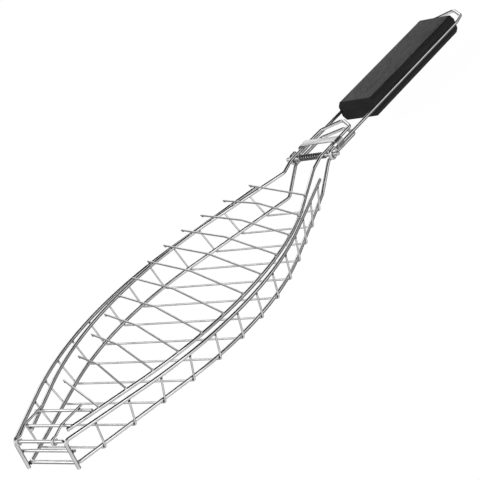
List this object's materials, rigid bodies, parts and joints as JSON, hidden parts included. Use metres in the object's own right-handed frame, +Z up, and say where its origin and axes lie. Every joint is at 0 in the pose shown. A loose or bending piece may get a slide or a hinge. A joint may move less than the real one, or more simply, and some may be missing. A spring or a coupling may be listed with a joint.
{
  "type": "fish grill basket",
  "caption": "Leaf-shaped hinged wire grill basket for a fish, with a folding wooden-grip handle, a hanging loop and a sliding steel clip that locks the lid.",
  "frame": {"origin": "middle of the bottom of the whole object, on the plane that the ribs and the posts rest on", "axes": "+Y from the hinge at the tail to the hanging loop, +Z up, +X to the right when looking along +Y"},
  "size_m": [0.152, 0.6308, 0.0328],
  "materials": {
    "frame_wire": "bright drawn steel wire, plated",
    "rib_wire": "bright drawn steel wire, plated",
    "cross_wire": "bright drawn steel wire, plated",
    "pin_steel": "turned, satin",
    "spring_steel": "spring steel, darker than the wires",
    "clip_sheet": "satin rolled sheet",
    "grip_wood": "black-stained hardwood, satin"
  },
  "bodies": {
    "basket": {"base_frame_wire": "frame_wire", "rim_wire_right": "frame_wire", "rim_wire_left": "frame_wire", "basket_rib_01": "rib_wire", "basket_rib_02": "rib_wire", "basket_rib_03": "rib_wire", "basket_rib_04": "rib_wire", "basket_rib_05": "rib_wire", "basket_rib_06": "rib_wire", "basket_rib_07": "rib_wire", "basket_rib_08": "rib_wire", "basket_rib_09": "rib_wire", "basket_rib_10": "rib_wire", "basket_rib_11": "rib_wire", "basket_rib_12": "rib_wire", "basket_rib_13": "rib_wire", "hinge_bar": "cross_wire", "tail_mid_bar": "cross_wire", "cross_pin": "pin_steel", "pin_spring": "spring_steel"},
    "lid": {"lid_frame_wire": "frame_wire", "lid_bar_front": "cross_wire", "lid_bar_rear": "cross_wire", "lid_rib_01": "rib_wire", "lid_rib_02": "rib_wire", "lid_rib_03": "rib_wire", "lid_rib_04": "rib_wire", "lid_rib_05": "rib_wire", "lid_rib_06": "rib_wire", "lid_rib_07": "rib_wire", "lid_rib_08": "rib_wire", "lid_rib_09": "rib_wire", "lid_rib_10": "rib_wire", "lid_rib_11": "rib_wire", "lid_rib_12": "rib_wire", "hinge_hook_left": "cross_wire", "hinge_hook_right": "cross_wire"},
    "handle": {"handle_wire": "frame_wire", "grip_upper_scale": "grip_wood", "grip_lower_scale": "grip_wood"},
    "clip": {"locking_clip": "clip_sheet"}
  },
  "joints": [
    {"name": "lid_hinge", "type": "hinge", "parent": "basket", "child": "lid", "pos_m": [0, -0.31225, 0.0228], "axis": [1, 0, 0], "range_deg": [0, 180]},
    {"name": "handle_fold", "type": "hinge", "parent": "basket", "child": "handle", "pos_m": [0, 0.05945, 0.0234], "axis": [1, 0, 0], "range_deg": [0, 120]},
    {"name": "clip_slide", "type": "slide", "parent": "handle", "child": "clip", "axis": [0, 1, 0], "range_m": [0, 0.056]}
  ]
}
